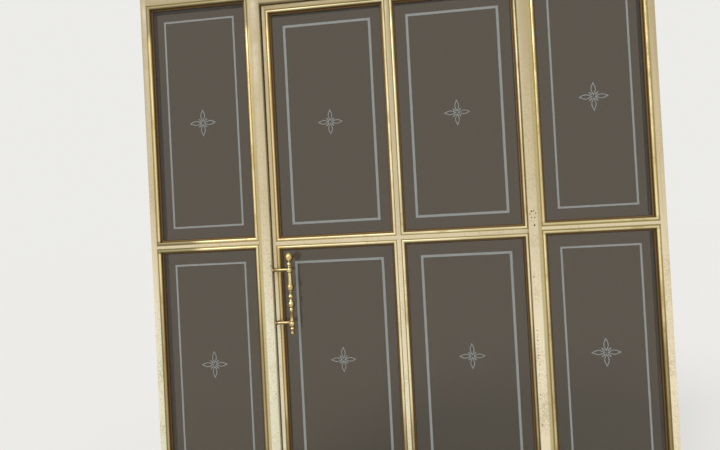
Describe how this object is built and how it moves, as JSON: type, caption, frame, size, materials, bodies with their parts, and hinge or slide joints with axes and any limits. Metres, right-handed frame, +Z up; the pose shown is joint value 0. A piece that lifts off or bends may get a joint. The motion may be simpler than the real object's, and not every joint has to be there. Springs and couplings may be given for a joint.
{
  "type": "glazed entrance door with sidelights",
  "caption": "Flat glazed entrance screen: a hinged glass door leaf with a turned brass pull handle between two fixed sidelights, in a cream steel frame with brass glazing beads.",
  "frame": {"origin": "centre of the doorway on the underside of the threshold, in the middle of the frame's depth", "axes": "+X to the right seen from outside, +Y indoors, through the screen, +Z up"},
  "size_m": [2.068, 0.144, 2.34],
  "materials": {
    "cream_paint": "old cream gloss paint with chips and dark specks",
    "polished_brass": "polished brass with tarnish in the corners",
    "etched_glass": "clear glass with fine etched border lines and a small star",
    "threshold_steel": "worn bare steel"
  },
  "bodies": {
    "frame": {"left_jamb": "cream_paint", "right_jamb": "cream_paint", "left_post": "cream_paint", "right_post": "cream_paint", "hinge_side_plate": "cream_paint", "head_rail": "cream_paint", "threshold": "threshold_steel", "left_transom": "cream_paint", "right_transom": "cream_paint", "left_lower_rail": "cream_paint", "right_lower_rail": "cream_paint", "side_base_rails": "cream_paint", "side_kick_panels": "cream_paint", "left_upper_glass": "etched_glass", "left_lower_glass": "etched_glass", "right_upper_glass": "etched_glass", "right_lower_glass": "etched_glass", "left_upper_bead": "polished_brass", "left_lower_bead": "polished_brass", "right_upper_bead": "polished_brass", "right_lower_bead": "polished_brass", "side_kick_beads": "polished_brass", "frame_hinges": "cream_paint"},
    "door_leaf": {"lock_stile": "cream_paint", "hinge_stile": "cream_paint", "leaf_top_rail": "cream_paint", "leaf_middle_rail": "cream_paint", "leaf_lower_rail": "cream_paint", "leaf_base_rail": "cream_paint", "upper_muntin": "cream_paint", "lower_muntin": "cream_paint", "leaf_kick_panel": "cream_paint", "upper_left_pane": "etched_glass", "upper_right_pane": "etched_glass", "lower_left_pane": "etched_glass", "lower_right_pane": "etched_glass", "upper_left_bead": "polished_brass", "upper_right_bead": "polished_brass", "lower_left_bead": "polished_brass", "lower_right_bead": "polished_brass", "leaf_kick_bead": "polished_brass", "leaf_stop_strip": "cream_paint", "leaf_hinges": "cream_paint", "handle_grip": "polished_brass", "handle_arms": "polished_brass"}
  },
  "joints": [
    {"name": "leaf_hinge", "type": "hinge", "parent": "frame", "child": "door_leaf", "pos_m": [0.5355, 0.041, 1.136], "axis": [0, 0, -1], "range_deg": [0, 90]}
  ]
}
